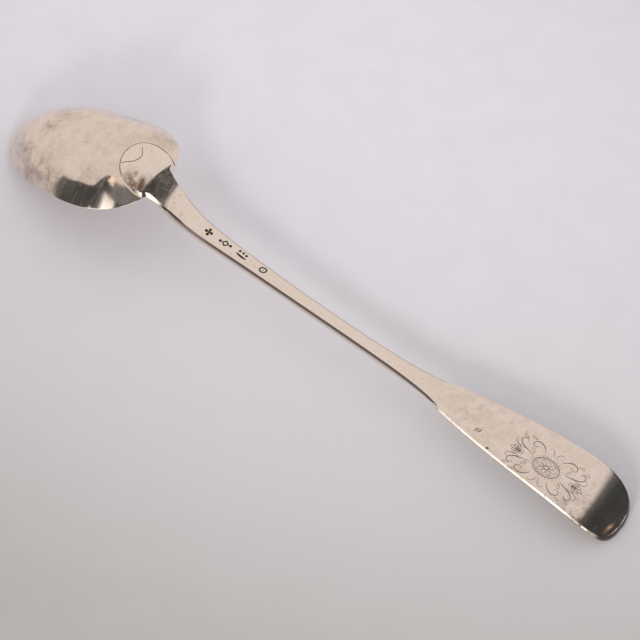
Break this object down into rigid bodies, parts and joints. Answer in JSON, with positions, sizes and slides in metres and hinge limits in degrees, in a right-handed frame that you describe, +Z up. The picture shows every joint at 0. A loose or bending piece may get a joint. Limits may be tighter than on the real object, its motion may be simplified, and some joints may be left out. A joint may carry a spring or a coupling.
{
  "type": "stew spoon",
  "caption": "Long-handled silver serving spoon with a deep pointed oval bowl, a soldered round tongue on the bowl's back, a slim stem and a flat shouldered end.",
  "frame": {"origin": "on the table under the middle of the spoon's length, halfway across it: the centre of the bottom face of the bounding box", "axes": "+X from the bowl's tip towards the end of the handle, +Y across the spoon, +Z up from the table, with the back of the bowl upwards"},
  "size_m": [0.3099, 0.0528, 0.0426],
  "materials": {
    "bowl_silver": "old polished silver, hammered to shape, lightly tarnished and finely scratched",
    "handle_silver": null,
    "solder": "dark tarnished solder line"
  },
  "bodies": {
    "root": {"bowl": "bowl_silver", "handle": "handle_silver", "solder_seam": "solder"}
  },
  "joints": []
}
